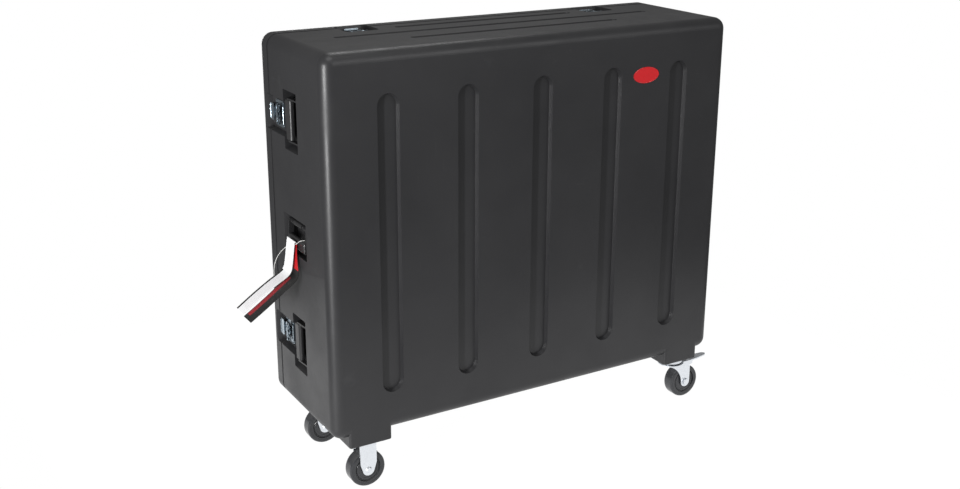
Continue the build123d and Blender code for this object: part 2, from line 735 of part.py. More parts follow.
def everything():
    """Each node's name and shape."""
    latches = latch_frames()
    handles = handle_frames()
    nodes = {
        "base_shell": base_shell(),
        "caster_feet": caster_feet(),
        "handle_cups": handle_cups(),
        "base_foam": base_foam(),
        "base_edge_profile": base_edge_profile(),
        "lid_shell": lid_shell(),
        "lid_foam": lid_foam(),
        "lid_edge_profile": lid_edge_profile(),
        "lid_gasket": lid_gasket(),
        "badge": badge(),
        "hang_tag": hang_tag(),
        "tag_string": tag_string(),
        "caster_bolts": caster_bolts(),
    }
    groups = {
        "latch_plates": (latch_plate, latches),
        "latch_keepers": (latch_keeper, latches),
        "handle_plates": (handle_plate, handles),
        "handle_pins": (handle_pin, handles),
        "handle_spring_barrels": (spring_barrel, handles),
    }
    for name, (make, frames) in groups.items():
        nodes[name] = group(frame.location * make() for frame in frames.values())
    singles = {
        "latch_wing": (latch_wing, latches),
        "latch_hook": (latch_hook, latches),
        "handle_bail": (handle_bail, handles),
        "handle_grip": (handle_grip, handles),
    }
    for name, (make, frames) in singles.items():
        for place, frame in frames.items():
            nodes[f"{name}_{place}"] = frame.location * make()
    rigid = [(-CASTER_X, y) for y in CASTER_YS.values()]
    swivel = [(CASTER_X, y) for y in CASTER_YS.values()]
    nodes["rigid_forks"] = group(rigid_fork(x, y) for x, y in rigid)
    nodes["rigid_axles"] = group(rigid_axle(x, y) for x, y in rigid)
    nodes["swivel_plates"] = group(swivel_plate(x, y) for x, y in swivel)
    for row, y in CASTER_YS.items():
        nodes[f"wheel_{row}_left"] = wheel(-CASTER_X, y)
        nodes[f"wheel_{row}_right"] = wheel(CASTER_X + TRAIL, y)
        nodes[f"swivel_yoke_{row}"] = swivel_yoke(CASTER_X, y)
        nodes[f"swivel_axle_{row}"] = swivel_axle(CASTER_X, y)
        nodes[f"brake_pedal_{row}"] = brake_pedal(CASTER_X, y)
    return nodes


for node, shape in everything().items():
    save(node, shape)
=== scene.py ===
import math

import bmesh
import bpy
from mathutils import Matrix, Vector


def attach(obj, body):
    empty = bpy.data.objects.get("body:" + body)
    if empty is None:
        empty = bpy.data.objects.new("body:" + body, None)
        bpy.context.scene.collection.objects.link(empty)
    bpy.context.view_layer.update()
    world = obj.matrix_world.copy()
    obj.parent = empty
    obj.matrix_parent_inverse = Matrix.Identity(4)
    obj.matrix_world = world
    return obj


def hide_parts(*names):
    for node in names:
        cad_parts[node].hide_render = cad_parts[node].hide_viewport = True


# A wheeled flight case for a mixing desk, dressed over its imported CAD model.
# Metres. X runs along the case, Y from the ribbed face to the lid, Z up.

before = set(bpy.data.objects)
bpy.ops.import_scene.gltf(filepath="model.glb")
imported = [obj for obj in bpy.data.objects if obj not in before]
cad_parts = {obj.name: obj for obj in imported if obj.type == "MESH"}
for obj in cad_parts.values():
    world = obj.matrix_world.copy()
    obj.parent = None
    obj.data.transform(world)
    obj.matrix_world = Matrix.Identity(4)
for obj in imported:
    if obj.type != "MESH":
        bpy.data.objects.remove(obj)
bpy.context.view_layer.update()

SHELL_SHIFT = -0.014
HALF_X = 0.552
FRONT_Y = -0.181
BOTTOM_Z = 0.144
TOP_Z = 1.039
MID_Z = 0.5915


def at(x, y, z):
    """A point given from the middle of the shells, in the object's frame."""
    return Vector((x + SHELL_SHIFT, y, z))


# Camera at the photograph's viewing angle
CAMERA_PLACE = (-1.55763, -2.49728, 1.48565)
CAMERA_HEADING = math.radians(31.135)
CAMERA_DOWN = math.radians(17.771)
CAMERA_ROLL = math.radians(0.387)
CAMERA_LENS = 45.75
CAMERA_SHIFT = (-0.00959, -0.0258)


def camera():
    forward = Vector(
        (
            math.sin(CAMERA_HEADING) * math.cos(CAMERA_DOWN),
            math.cos(CAMERA_HEADING) * math.cos(CAMERA_DOWN),
            -math.sin(CAMERA_DOWN),
        )
    )
    level = Vector((math.cos(CAMERA_HEADING), -math.sin(CAMERA_HEADING), 0))
    upright = level.cross(forward)
    right = level * math.cos(CAMERA_ROLL) + upright * math.sin(CAMERA_ROLL)
    up = upright * math.cos(CAMERA_ROLL) - level * math.sin(CAMERA_ROLL)
    data = bpy.data.cameras.new("photo_camera")
    data.lens = CAMERA_LENS
    data.shift_x, data.shift_y = CAMERA_SHIFT
    data.clip_end = 50
    view = bpy.data.objects.new("photo_camera", data)
    turn = Matrix((right, up, -forward)).transposed().to_4x4()
    view.matrix_world = Matrix.Translation(CAMERA_PLACE) @ turn
    bpy.context.scene.collection.objects.link(view)
    bpy.context.scene.camera = view


# Node building
class Net:
    """A node tree with short ways to add and join nodes."""

    def __init__(self, tree):
        self.tree = tree

    def add(self, kind):
        return self.tree.nodes.new(kind)

    def join(self, source, target):
        self.tree.links.new(source, target)

    def maths(self, operation, first, second, third=None):
        node = self.add("ShaderNodeMath")
        node.operation = operation
        for socket, value in zip(node.inputs, (first, second, third)):
            self.feed(socket, value)
        return node.outputs[0]

    def feed(self, socket, value):
        if value is None:
            return
        if isinstance(value, bpy.types.NodeSocket):
            self.join(value, socket)
        else:
            socket.default_value = value

    def mix(self, share, first, second):
        node = self.add("ShaderNodeMix")
        node.data_type = "RGBA"
        self.feed(node.inputs[0], share)
        self.feed(node.inputs[6], first)
        self.feed(node.inputs[7], second)
        return node.outputs[2]

    def noise(self, place, scale, detail, roughness=0.5):
        node = self.add("ShaderNodeTexNoise")
        self.feed(node.inputs["Vector"], place)
        self.feed(node.inputs["Scale"], scale)
        self.feed(node.inputs["Detail"], detail)
        self.feed(node.inputs["Roughness"], roughness)
        return node.outputs[0]

    def cells(self, place, scale, feature="F1"):
        node = self.add("ShaderNodeTexVoronoi")
        node.feature = feature
        self.feed(node.inputs["Vector"], place)
        self.feed(node.inputs["Scale"], scale)
        return node.outputs["Distance"]

    def ramp(self, value, low, high, bottom=0.0, top=1.0):
        node = self.add("ShaderNodeMapRange")
        self.feed(node.inputs[0], value)
        for socket, number in zip(node.inputs[1:5], (low, high, bottom, top)):
            self.feed(socket, number)
        return node.outputs[0]

    def stretch(self, place, scale):
        node = self.add("ShaderNodeMapping")
        self.join(place, node.inputs["Vector"])
        node.inputs["Scale"].default_value = scale
        return node.outputs[0]


def effect_group(name, inputs, outputs):
    """An empty node group with named sockets, its own input and output nodes added."""
    tree = bpy.data.node_groups.new(name, "ShaderNodeTree")
    for title, kind, value in inputs:
        socket = tree.interface.new_socket(title, in_out="INPUT", socket_type=kind)
        if value is not None:
            socket.default_value = value
    for title, kind in outputs:
        tree.interface.new_socket(title, in_out="OUTPUT", socket_type=kind)
    net = Net(tree)
    return net, net.add("NodeGroupInput"), net.add("NodeGroupOutput")


WAVER_SCALE = 60.0
WAVER_SHARE = 1.4


def moulded_grain():
    """Fine pebbled grain of moulded plastic, as a height."""
    net, given, result = effect_group(
        "moulded grain",
        [("Place", "NodeSocketVector", None), ("Pebble Scale", "NodeSocketFloat", 900.0)],
        [("Height", "NodeSocketFloat")],
    )
    pebbles = net.cells(given.outputs["Place"], given.outputs["Pebble Scale"], "SMOOTH_F1")
    waver = net.noise(given.outputs["Place"], WAVER_SCALE, 3.0)
    height = net.maths("MULTIPLY_ADD", waver, WAVER_SHARE, pebbles)
    net.join(height, result.inputs["Height"])
    return net.tree


PATCH_SCALE = 5.0
PATCH_LIMITS = (0.42, 0.68)
SCUFF_STRETCHES = ((260, 14, 9), (11, 240, 16), (17, 12, 230))
SCUFF_LIMITS = (0.66, 0.74)


def handling_marks():
    """Rubbed patches and thin scuffs, as a mask."""
    net, given, result = effect_group(
        "handling marks",
        [("Place", "NodeSocketVector", None), ("Amount", "NodeSocketFloat", 0.5)],
        [("Marks", "NodeSocketFloat"), ("Patches", "NodeSocketFloat")],
    )
    place = given.outputs["Place"]
    patches = net.ramp(net.noise(place, PATCH_SCALE, 5.0, 0.6), *PATCH_LIMITS)
    marks = None
    for stretch in SCUFF_STRETCHES:
        line = net.ramp(net.noise(net.stretch(place, stretch), 1.0, 4.0, 0.7), *SCUFF_LIMITS)
        marks = line if marks is None else net.maths("MAXIMUM", marks, line)
    marks = net.maths("MULTIPLY", net.maths("MULTIPLY", marks, patches), given.outputs["Amount"])
    net.join(marks, result.inputs["Marks"])
    net.join(patches, result.inputs["Patches"])
    return net.tree


DUST_FACING = (0.3, 1.0)
DUST_CLOUD_SCALE = 18.0
DUST_CLOUD_LIMITS = (0.35, 0.8)


def settled_dust():
    """Pale dust in clouds on what faces up, as a mask."""
    net, given, result = effect_group(
        "settled dust",
        [("Place", "NodeSocketVector", None), ("Amount", "NodeSocketFloat", 0.3)],
        [("Dust", "NodeSocketFloat")],
    )
    facing = net.add("ShaderNodeNewGeometry")
    split = net.add("ShaderNodeSeparateXYZ")
    net.join(facing.outputs["Normal"], split.inputs[0])
    upward = net.ramp(split.outputs["Z"], *DUST_FACING)
    cloud = net.noise(given.outputs["Place"], DUST_CLOUD_SCALE, 6.0, 0.65)
    cloud = net.ramp(cloud, *DUST_CLOUD_LIMITS)
    dust = net.maths("MULTIPLY", net.maths("MULTIPLY", upward, cloud), given.outputs["Amount"])
    net.join(dust, result.inputs["Dust"])
    return net.tree


ROLLING_STRETCH = (1800, 60, 60)


def plating_mottle():
    """Zinc plating's faint crystals and rolling lines."""
    net, given, result = effect_group(
        "plating mottle",
        [("Place", "NodeSocketVector", None), ("Crystal Scale", "NodeSocketFloat", 240.0)],
        [("Mottle", "NodeSocketFloat"), ("Lines", "NodeSocketFloat")],
    )
    place = given.outputs["Place"]
    net.join(net.cells(place, given.outputs["Crystal Scale"]), result.inputs["Mottle"])
    lines = net.noise(net.stretch(place, ROLLING_STRETCH), 1.0, 3.0, 0.6)
    net.join(lines, result.inputs["Lines"])
    return net.tree


PRINT_EDGE = 0.0003


def printed_panel():
    """A printed panel, as a mask: one between its limits and nought outside them."""
    places = ("Across", "Along", "Across From", "Across To", "Along From", "Along To")
    net, given, result = effect_group(
        "printed panel",
        [(title, "NodeSocketFloat", 0.0) for title in places],
        [("Inside", "NodeSocketFloat")],
    )
    inside = None
    for way in ("Across", "Along"):
        low, high = given.outputs[f"{way} From"], given.outputs[f"{way} To"]
        risen = net.ramp(given.outputs[way], low, net.maths("ADD", low, PRINT_EDGE))
        not_fallen = net.ramp(given.outputs[way], net.maths("ADD", high, PRINT_EDGE), high)
        both = net.maths("MULTIPLY", risen, not_fallen)
        inside = both if inside is None else net.maths("MULTIPLY", inside, both)
    net.join(inside, result.inputs["Inside"])
    return net.tree


GRAIN = moulded_grain()
MARKS = handling_marks()
DUST = settled_dust()
MOTTLE = plating_mottle()
PANEL = printed_panel()


def use(net, group, **values):
    """An effect placed in a material, with what feeds each of its inputs."""
    node = net.add("ShaderNodeGroup")
    node.node_tree = group
    for name, value in values.items():
        net.feed(node.inputs[name.replace("_", " ")], value)
    return node


def blank_material(name):
    """A material with an empty tree but for its shader, and where things are on it."""
    material = bpy.data.materials.new(name)
    material.use_nodes = True
    net = Net(material.node_tree)
    shader = material.node_tree.nodes["Principled BSDF"]
    place = net.add("ShaderNodeTexCoord").outputs["Object"]
    return material, net, shader, place


def set_bump(net, shader, height, distance):
    bump = net.add("ShaderNodeBump")
    bump.inputs["Distance"].default_value = distance
    bump.inputs["Strength"].default_value = 1.0
    net.join(height, bump.inputs["Height"])
    net.join(bump.outputs[0], shader.inputs["Normal"])


DRIFT_SCALE = 3.0
DUST_TONE = (0.30, 0.29, 0.27, 1)
WORN_GAIN = 2.2
WORN_LIFT = 0.02


def plastic(name, dark, pale, roughness, pebble, depth, wear=0.5, dust=0.2, specular=0.5):
    """Moulded plastic or rubber: grain, drift between two tones, scuffs and dust."""
    material, net, shader, place = blank_material(name)
    marks = use(net, MARKS, Place=place, Amount=wear)
    dusting = use(net, DUST, Place=place, Amount=dust)
    grain = use(net, GRAIN, Place=place, Pebble_Scale=pebble)
    drift = net.ramp(net.noise(place, DRIFT_SCALE, 4.0), 0.3, 0.7)
    colour = net.mix(drift, (*dark, 1), (*pale, 1))
    worn = tuple(min(1.0, WORN_GAIN * c + WORN_LIFT) for c in pale)
    colour = net.mix(marks.outputs["Marks"], colour, (*worn, 1))
    colour = net.mix(dusting.outputs["Dust"], colour, DUST_TONE)
    net.join(colour, shader.inputs["Base Color"])
    rough = net.ramp(marks.outputs["Patches"], 0.0, 1.0, roughness - 0.05, roughness + 0.08)
    net.join(rough, shader.inputs["Roughness"])
    shader.inputs["Specular IOR Level"].default_value = specular
    set_bump(net, shader, grain.outputs["Height"], depth)
    return material


# Painted shade in the plating's crevices: ambient occlusion darkens the zinc where pieces crowd together.
CREVICE_REACH = 0.014
CREVICE_SAMPLES = 6
CREVICE_LIMITS = (0.25, 0.85)


def painted_crevice_shade(net, amount):
    """How much painted shade a spot gets, as a mask: up to amount where pieces crowd in on it."""
    hidden = net.add("ShaderNodeAmbientOcclusion")
    hidden.samples = CREVICE_SAMPLES
    hidden.inputs["Distance"].default_value = CREVICE_REACH
    return net.ramp(hidden.outputs["AO"], *CREVICE_LIMITS, amount, 0.0)


CRYSTAL_SCALE = 260.0
PLATING_WEAR = 0.5
PLATING_LINE_DEPTH = 0.00001
DULL_SHARE = 0.93
RUBBED_ZINC = (0.42, 0.42, 0.43, 1)
# The dark colour painted as shade into the plating's crevices.
CREVICE_SHADE_TONE = (0.03, 0.035, 0.045, 1)


def plated(name, colour, roughness, crevice):
    """Bright zinc plating over pressed steel, with painted shade where pieces crowd together."""
    material, net, shader, place = blank_material(name)
    mottle = use(net, MOTTLE, Place=place, Crystal_Scale=CRYSTAL_SCALE)
    marks = use(net, MARKS, Place=place, Amount=PLATING_WEAR)
    dull = tuple(DULL_SHARE * c for c in colour)
    crystals = net.ramp(mottle.outputs["Mottle"], 0.2, 0.8)
    tone = net.mix(crystals, (*colour, 1), (*dull, 1))
    tone = net.mix(marks.outputs["Marks"], tone, RUBBED_ZINC)
    # Painted shade: the zinc darkens where pieces crowd in on it.
    tone = net.mix(painted_crevice_shade(net, crevice), tone, CREVICE_SHADE_TONE)
    net.join(tone, shader.inputs["Base Color"])
    shader.inputs["Metallic"].default_value = 1.0
    rough = net.ramp(mottle.outputs["Lines"], 0.3, 0.7, roughness - 0.04, roughness + 0.06)
    net.join(rough, shader.inputs["Roughness"])
    set_bump(net, shader, mottle.outputs["Lines"], PLATING_LINE_DEPTH)
    return material


PORE_SCALE = 420.0
PORE_DEPTH = 0.0012
FOAM_DARK = (0.008, 0.008, 0.009, 1)
FOAM_PALE = (0.05, 0.05, 0.053, 1)


def foam_lining():
    """Open-cell foam."""
    material, net, shader, place = blank_material("charcoal foam")
    pores = net.cells(place, PORE_SCALE)
    colour = net.mix(net.ramp(pores, 0.1, 0.6), FOAM_DARK, FOAM_PALE)
    net.join(colour, shader.inputs["Base Color"])
    shader.inputs["Roughness"].default_value = 0.95
    set_bump(net, shader, pores, PORE_DEPTH)
    return material


DEEP_RED = (0.42, 0.004, 0.008, 1)
BRIGHT_RED = (0.62, 0.010, 0.014, 1)
FLAKE_SCALE = 900.0
DOME_RIPPLE_SCALE = 220.0
DOME_RIPPLE_DEPTH = 0.00006


def glossy_badge():
    """Clear-domed plain red plate."""
    material, net, shader, place = blank_material("domed red plate")
    flake = net.noise(place, FLAKE_SCALE, 2.0)
    colour = net.mix(flake, DEEP_RED, BRIGHT_RED)
    net.join(colour, shader.inputs["Base Color"])
    shader.inputs["Roughness"].default_value = 0.22
    shader.inputs["Coat Weight"].default_value = 0.8
    shader.inputs["Coat Roughness"].default_value = 0.04
    ripple = net.noise(place, DOME_RIPPLE_SCALE, 3.0)
    set_bump(net, shader, ripple, DOME_RIPPLE_DEPTH)
    return material


def strip_frame(net):
    """How far across and along the tag strip a point is, in metres, from its mesh."""
    across = net.add("ShaderNodeUVMap")
    across.uv_map = "strip"
    split = net.add("ShaderNodeSeparateXYZ")
    net.join(across.outputs[0], split.inputs[0])
    return split.outputs["X"], split.outputs["Y"]


FIBRE_SCALE = 700.0
FIBRE_DEPTH = 0.00004
FIBRE_SHADE = 0.8


def tag_card(name, ground, panels):
    """Printed card with plain panels: their limits across and along it, and colour."""
    material, net, shader, place = blank_material(name)
    across, along = strip_frame(net)
    fibre = net.noise(place, FIBRE_SCALE, 4.0)
    shaded = tuple(FIBRE_SHADE * c for c in ground)
    tone = net.mix(net.ramp(fibre, 0.3, 0.7, 0.0, 0.25), (*ground, 1), (*shaded, 1))
    for (left, right), (start, end), colour in panels:
        panel = use(
            net, PANEL, Across=across, Along=along,
            Across_From=left, Across_To=right, Along_From=start, Along_To=end,
        )
        tone = net.mix(panel.outputs["Inside"], tone, (*colour, 1))
    net.join(tone, shader.inputs["Base Color"])
    shader.inputs["Roughness"].default_value = 0.38
    set_bump(net, shader, fibre, FIBRE_DEPTH)
    return material


LAY_SCALE = 320.0
LAY_DEPTH = 0.0002
CORD_SHADE = (0.35, 0.35, 0.34, 1)
CORD_PALE = (0.72, 0.72, 0.70, 1)


def twisted_cord():
    """Thin pale cord with a twisted lay."""
    material, net, shader, place = blank_material("twisted pale cord")
    wave = net.add("ShaderNodeTexWave")
    wave.bands_direction = "DIAGONAL"
    wave.inputs["Scale"].default_value = LAY_SCALE
    net.join(place, wave.inputs["Vector"])
    colour = net.mix(wave.outputs["Fac"], CORD_SHADE, CORD_PALE)
    net.join(colour, shader.inputs["Base Color"])
    shader.inputs["Roughness"].default_value = 0.8
    set_bump(net, shader, wave.outputs["Fac"], LAY_DEPTH)
    return material


SHELL = plastic(
    "black moulded shell", (0.017, 0.017, 0.0185), (0.023, 0.023, 0.0245),
    roughness=0.42, pebble=1100.0, depth=0.00010, wear=0.35, dust=0.03, specular=0.45,
)
RIM = plastic(
    "black rim profile", (0.016, 0.016, 0.017), (0.024, 0.024, 0.025),
    roughness=0.35, pebble=1400.0, depth=0.00004, wear=0.3, dust=0.1,
)
FOAM = foam_lining()
GASKET = plastic(
    "soft black gasket", (0.012, 0.012, 0.012), (0.02, 0.02, 0.02),
    roughness=0.7, pebble=900.0, depth=0.00010,
)
ZINC = plated("bright zinc plate", (0.50, 0.58, 0.64), 0.2, 0.95)
CASTER_ZINC = plated("caster zinc plate", (0.84, 0.87, 0.91), 0.34, 0.5)
BLACK_STEEL = plastic(
    "black coated steel", (0.014, 0.014, 0.015), (0.02, 0.02, 0.021),
    roughness=0.3, pebble=1500.0, depth=0.00003, wear=0.6, dust=0.05,
)
GRIP = plastic(
    "black grip rubber", (0.014, 0.014, 0.015), (0.022, 0.022, 0.023),
    roughness=0.36, pebble=700.0, depth=0.00010, wear=0.4, dust=0.05,
)
TYRE = plastic(
    "hard wheel rubber", (0.024, 0.025, 0.028), (0.034, 0.035, 0.039),
    roughness=0.22, pebble=900.0, depth=0.00008, wear=0.8, dust=0.25,
)
BADGE = glossy_badge()
RULE_WIDTH = 0.0012
FINE_RULES = [(0.008 + 0.0055 * k, 0.008 + 0.0055 * k + RULE_WIDTH) for k in range(5)]
CARD_WHITE = tag_card(
    "edged white card", (0.74, 0.74, 0.75),
    [((0.0375, 0.0460), (-0.01, 0.138), (0.01, 0.01, 0.01))]
    + [(rule, (0.012, 0.128), (0.52, 0.48, 0.49)) for rule in FINE_RULES]
    + [(rule, (0.150, 0.186), (0.56, 0.45, 0.46)) for rule in FINE_RULES],
)
CARD_BLACK = tag_card(
    "striped black card", (0.012, 0.012, 0.012),
    [
        ((-0.01, 0.0460), (-0.01, 0.060), (0.45, 0.012, 0.016)),
        ((0.0270, 0.0425), (0.084, 0.211), (0.24, 0.008, 0.014)),
    ],
)
CORD = twisted_cord()


def finish_of(node):
    if node in ("base_shell", "lid_shell", "caster_feet", "handle_cups"):
        return SHELL
    if "foam" in node:
        return FOAM
    if "edge_profile" in node:
        return RIM
    if node == "lid_gasket":
        return GASKET
    if node == "badge":
        return BADGE
    if node.startswith("handle_grip"):
        return GRIP
    if node.startswith("wheel"):
        return TYRE
    if node == "hang_tag":
        return CARD_WHITE
    if node == "tag_string":
        return CORD
    if node.startswith("handle"):
        return BLACK_STEEL
    if node.startswith("latch"):
        return ZINC
    return CASTER_ZINC


def dress_nodes():
    for node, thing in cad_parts.items():
        thing.data.materials.clear()
        thing.data.materials.append(finish_of(node))


# Cord and tag
STRING_DIAMETER = 0.0016
STRING_ROUTE = (
    (-0.5485, -0.037, 0.566), (-0.549, -0.035, 0.580), (-0.552, -0.032, 0.5886), (-0.559, -0.027, 0.5894),
    (-0.565, -0.020, 0.5875), (-0.569, -0.014, 0.581), (-0.571, -0.006, 0.5755), (-0.572, 0.010, 0.571),
    (-0.5735, 0.030, 0.5635), (-0.576, 0.043, 0.556), (-0.582, 0.054, 0.545), (-0.589, 0.063, 0.530),
    (-0.594, 0.070, 0.512), (-0.596, 0.074, 0.492), (-0.5955, 0.0755, 0.472),
)
TAG_WIDTH = 0.045
TAG_THICK = 0.0009
TAG_Y = 0.014
TAG_REAR_END_Y = -0.031
TAG_SPREAD_SHARE = 0.9
TAG_COLUMNS = 6
TAG_STEPS = 6
TAG_SHARP_ANGLE = math.radians(40)
TAG_FRONT = (
    (-0.690, 0.432), (-0.650, 0.460), (-0.610, 0.4855), (-0.584, 0.500),
    (-0.572, 0.511), (-0.567, 0.530), (-0.560, 0.578),
)
TAG_FOLD = (-0.5573, 0.5815)
TAG_REAR = (
    (-0.5546, 0.578), (-0.560, 0.528), (-0.5645, 0.506), (-0.580, 0.494),
    (-0.606, 0.4795), (-0.650, 0.453), (-0.690, 0.427),
)


def link(thing):
    bpy.context.scene.collection.objects.link(thing)
    return thing


def smooth_line(points, steps):
    """Points along a smooth line through the given ones, as many in each stretch."""
    line = []
    for k in range(len(points) - 1):
        p0 = Vector(points[max(k - 1, 0)])
        p1, p2 = Vector(points[k]), Vector(points[k + 1])
        p3 = Vector(points[min(k + 2, len(points) - 1)])
        for s in range(steps):
            t = s / steps
            slope = (p2 - p0) * t
            bend = (2 * p0 - 5 * p1 + 4 * p2 - p3) * t * t
            twist = (3 * p1 - p0 - 3 * p2 + p3) * t ** 3
            line.append(0.5 * (2 * p1 + slope + bend + twist))
    return line + [Vector(points[-1])]


def tag_flap(name, route, material, sway):
    """One flap of the tag strip: its card bends along the route and leans by sway."""
    line = smooth_line(route, TAG_STEPS)
    shape = bmesh.new()
    strip_uv = shape.loops.layers.uv.new("strip")
    layers = []
    places = {}
    for side in (1, -1):
        rows = []
        travelled = 0.0
        for k, here in enumerate(line):
            before, after = line[max(k - 1, 0)], line[min(k + 1, len(line) - 1)]
            along = (after - before).normalized()
            across = Vector((-along.y, along.x)) * side * TAG_THICK / 2
            if k:
                travelled += (here - line[k - 1]).length
            row = []
            for c in range(TAG_COLUMNS + 1):
                share = c / TAG_COLUMNS
                y = TAG_Y + (share - 0.5) * TAG_WIDTH + sway(here.y)
                vert = shape.verts.new((here.x + across.x + SHELL_SHIFT, y, here.y + across.y))
                places[vert] = (share * TAG_WIDTH, travelled)
                row.append(vert)
            rows.append(row)
        layers.append(rows)

    def quad(a, b, c, d):
        face = shape.faces.new((a, b, c, d))
        face.smooth = True
        for loop in face.loops:
            loop[strip_uv].uv = places[loop.vert]

    front, back = layers
    last = len(line) - 1
    for k in range(last):
        for c in range(TAG_COLUMNS):
            quad(front[k][c], front[k][c + 1], front[k + 1][c + 1], front[k + 1][c])
            quad(back[k][c], back[k + 1][c], back[k + 1][c + 1], back[k][c + 1])
        quad(front[k][0], front[k + 1][0], back[k + 1][0], back[k][0])
        quad(front[k][-1], back[k][-1], back[k + 1][-1], front[k + 1][-1])
    for c in range(TAG_COLUMNS):
        quad(front[0][c], back[0][c], back[0][c + 1], front[0][c + 1])
        quad(front[last][c], front[last][c + 1], back[last][c + 1], back[last][c])
    bmesh.ops.recalc_face_normals(shape, faces=shape.faces)
    mesh = bpy.data.meshes.new(name)
    shape.to_mesh(mesh)
    mesh.materials.append(material)
    flap = link(bpy.data.objects.new(name, mesh))
    flap.data.set_sharp_from_angle(angle=TAG_SHARP_ANGLE)
    return flap


def cord_and_tag():
    body = "handle_left_middle"
    rear_drop = TAG_REAR[0][1] - TAG_REAR[-1][1]

    def lean(z):
        share = min(1.0, (TAG_REAR[0][1] - z) / rear_drop / TAG_SPREAD_SHARE)
        return (TAG_REAR_END_Y - TAG_Y) * share * share * (3 - 2 * share)

    front = tag_flap("tag_front_flap", TAG_FRONT + (TAG_FOLD, TAG_REAR[0]), CARD_WHITE, lambda z: 0.0)
    rear = tag_flap("tag_rear_flap", TAG_REAR, CARD_BLACK, lean)
    for flap in (front, rear):
        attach(flap, body)
    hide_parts("hang_tag")
    curve = bpy.data.curves.new("tag_cord", "CURVE")
    curve.dimensions = "3D"
    curve.bevel_depth = STRING_DIAMETER / 2
    curve.bevel_resolution = 3
    curve.use_fill_caps = True
    spline = curve.splines.new("NURBS")
    spline.points.add(len(STRING_ROUTE) - 1)
    for point, place in zip(spline.points, STRING_ROUTE):
        point.co = (*place, 1)
    spline.order_u = 3
    spline.use_endpoint_u = True
    curve.materials.append(CORD)
    string = link(bpy.data.objects.new("tag_cord", curve))
    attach(string, body)
    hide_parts("tag_string")


# Small hardware
SHARP_ANGLE = math.radians(35)


def piece(name, shape, material, body):
    """A finished mesh made into a named piece that rides on a body."""
    bmesh.ops.recalc_face_normals(shape, faces=shape.faces)
    for face in shape.faces:
        face.smooth = True
    mesh = bpy.data.meshes.new(name)
    shape.to_mesh(mesh)
    shape.free()
    mesh.materials.append(material)
    mesh.set_sharp_from_angle(angle=SHARP_ANGLE)
    made = link(bpy.data.objects.new(name, mesh))
    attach(made, body)
    return made


def join_rings(shape, pairs):
    """Adds the faces between pairs of neighbouring rings."""
    for low, high in pairs:
        steps = len(low)
        for s in range(steps):
            after = (s + 1) % steps
            shape.faces.new((low[s], low[after], high[after], high[s]))


def close_ends(shape, rings):
    shape.faces.new(rings[0][::-1])
    shape.faces.new(rings[-1])


def spun_rings(shape, profile, place, steps):
    """Rings of points: radius and height pairs spun round the place's own Z."""
    rings = []
    for radius, height in profile:
        ring = []
        for s in range(steps):
            a = 2 * math.pi * s / steps
            spot = Vector((radius * math.cos(a), radius * math.sin(a), height))
            ring.append(shape.verts.new(place @ spot))
        rings.append(ring)
    return rings


def turn_profile(shape, profile, place, steps):
    """Adds a turned part that is closed at both ends of its profile."""
    rings = spun_rings(shape, profile, place, steps)
    join_rings(shape, zip(rings, rings[1:]))
    close_ends(shape, rings)


def spin_band(shape, profile, place, steps):
    """Adds a closed band: its profile spun round with nothing in the middle."""
    rings = spun_rings(shape, profile, place, steps)
    join_rings(shape, zip(rings, rings[1:] + rings[:1]))


def tube(shape, line, radius, steps, closed=False):
    """Adds a round wire that follows the line."""
    rings = []
    count = len(line)
    side = None
    for k, here in enumerate(line):
        before = line[(k - 1) % count] if closed or k else here
        after = line[(k + 1) % count] if closed or k < count - 1 else here
        along = (after - before).normalized()
        if side is None:
            side = along.orthogonal().normalized()
        side = (side - along * side.dot(along)).normalized()
        other = along.cross(side)
        ring = []
        for s in range(steps):
            a = 2 * math.pi * s / steps
            ring.append(shape.verts.new(here + radius * (math.cos(a) * side + math.sin(a) * other)))
        rings.append(ring)
    join_rings(shape, zip(rings, rings[1:]))
    if closed:
        join_rings(shape, [(rings[-1], rings[0])])
    else:
        close_ends(shape, rings)


def recess(origin, towards, outward):
    """The frame of a recess: t towards the lid or grip, w across, n out of the case."""
    t, n = Vector(towards), Vector(outward)
    w = n.cross(t)
    turn = Matrix((t, w, n)).transposed().to_4x4()
    return Matrix.Translation(origin) @ turn


LATCH_Y = 0.095
TOP_LATCH_X = 0.337
END_LATCH_Z = 0.269
DISH_FLOOR = -0.015
HANDLE_Y = 0.0045
POCKET_FLOOR = -0.031


def latch_places():
    places = {}
    for side, word in ((-1, "left"), (1, "right")):
        for dz, level in ((1, "high"), (-1, "low")):
            origin = at(side * HALF_X, LATCH_Y, MID_Z + dz * END_LATCH_Z)
            places[f"{word}_{level}"] = recess(origin, (0, 1, 0), (side, 0, 0))
        for up, level in ((1, "top"), (-1, "bottom")):
            origin = at(side * TOP_LATCH_X, LATCH_Y, TOP_Z if up > 0 else BOTTOM_Z)
            places[f"{level}_{word}"] = recess(origin, (0, 1, 0), (0, 0, up))
    return places


def handle_places():
    places = {}
    for side, word in ((-1, "left"), (1, "right")):
        for dz, level in ((1, "high"), (-1, "low")):
            origin = at(side * HALF_X, HANDLE_Y, MID_Z + dz * END_LATCH_Z)
            places[f"{word}_{level}"] = recess(origin, (0, 1, 0), (side, 0, 0))
        origin = at(side * HALF_X, HANDLE_Y, MID_Z)
        places[f"{word}_middle"] = recess(origin, (0, 0, -1), (side, 0, 0))
    return places


RIVET_STEPS = 16
RIVET_HEAD = ((0.0030, 0.0), (0.0029, 0.0006), (0.0023, 0.0012), (0.0012, 0.0016), (0.0002, 0.0017))


def rivets(name, place, spots, height, body, material):
    shape = bmesh.new()
    for t, w in spots:
        turn_profile(shape, RIVET_HEAD, place @ Matrix.Translation((t, w, height)), RIVET_STEPS)
    return piece(name, shape, material, body)


